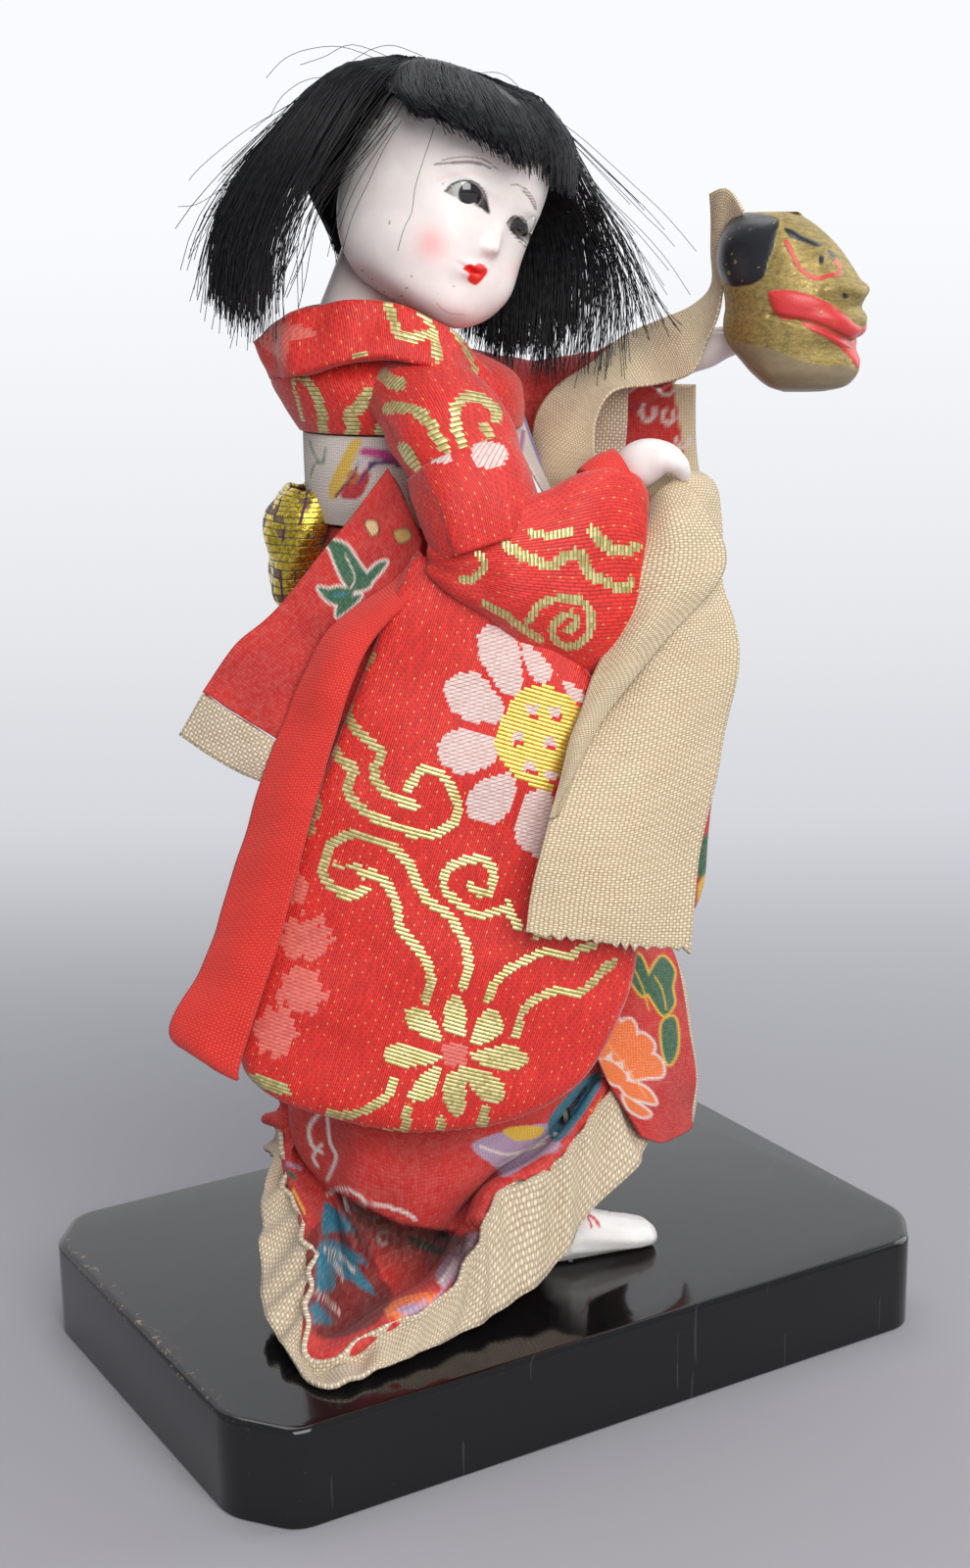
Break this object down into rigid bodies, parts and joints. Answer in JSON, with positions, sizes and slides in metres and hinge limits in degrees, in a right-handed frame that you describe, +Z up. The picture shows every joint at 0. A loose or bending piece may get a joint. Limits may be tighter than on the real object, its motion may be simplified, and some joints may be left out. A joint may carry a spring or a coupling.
{
  "type": "dressed folk dance doll",
  "caption": "Dressed dance doll on a lacquered board: white head with bobbed hair that turns on its neck peg, long-sleeved red kimono, raised gold lion mask with its cloth.",
  "frame": {"origin": "centre of the board's underside", "axes": "+X along the board's long side, towards the lion mask's end, +Z up; the doll faces towards +X and -Y"},
  "size_m": [0.12, 0.08, 0.1944],
  "materials": {
    "black_lacquer": "gloss black lacquer over wood, rubbed and lightly chipped",
    "iron_wire": "drawn iron wire",
    "shell_white": "burnished white shell paint over a light composition body",
    "wood_wool": "tied straw and wood wool under paper",
    "peg_wood": "plain split wood",
    "eye_glass": "glossy glass, white with a dark iris",
    "black_silk": "straight black silk floss",
    "red_brocade": "red satin brocade with flat gold threads",
    "printed_crepe": "red crepe printed with flowers and leaves",
    "red_lining": "plain red silk with a soft sheen",
    "beige_silk": "plain-woven beige silk",
    "gold_lame": "gold thread cloth with purple threads",
    "pale_crepe": "white crepe printed in soft colours",
    "gold_paint": "antique gold paint over composition, with red and black painting"
  },
  "bodies": {
    "figure": {"base_board": "black_lacquer", "leg_wire_right": "iron_wire", "leg_wire_left": "iron_wire", "arm_wire_right": "iron_wire", "arm_wire_left": "iron_wire", "right_foot": "shell_white", "left_foot": "shell_white", "torso_core": "wood_wool", "right_hand": "shell_white", "left_hand": "shell_white", "lion_mask": "gold_paint", "waist_wrap": "pale_crepe", "kimono_body": "red_brocade", "collar": "red_brocade", "under_collar": "pale_crepe", "obi_knot": "gold_lame", "right_sleeve_upper": "red_brocade", "right_sleeve_band": "red_lining", "right_forearm_sleeve": "red_brocade", "right_cuff_lining": "red_lining", "right_hanging_sleeve": "red_brocade", "right_sleeve_lining": "red_lining", "left_sleeve": "beige_silk", "left_hanging_sleeve": "printed_crepe", "left_sleeve_lining": "beige_silk", "skirt": "printed_crepe", "skirt_lining": "beige_silk", "front_panel": "printed_crepe", "panel_lining": "beige_silk", "back_flap": "printed_crepe", "back_flap_lining": "beige_silk", "mask_cloth": "beige_silk"},
    "head": {"neck_peg": "peg_wood", "head": "shell_white", "eye_right": "eye_glass", "eye_left": "eye_glass", "hair_right": "black_silk", "hair_left": "black_silk", "hair_back": "black_silk", "hair_fringe": "black_silk"}
  },
  "joints": [
    {"name": "neck_turn", "type": "hinge", "parent": "figure", "child": "head", "pos_m": [-0.01278, 0.01121, 0.15598], "axis": [0.2932, -0.1762, 0.9397], "range_deg": [-10, 4]}
  ]
}
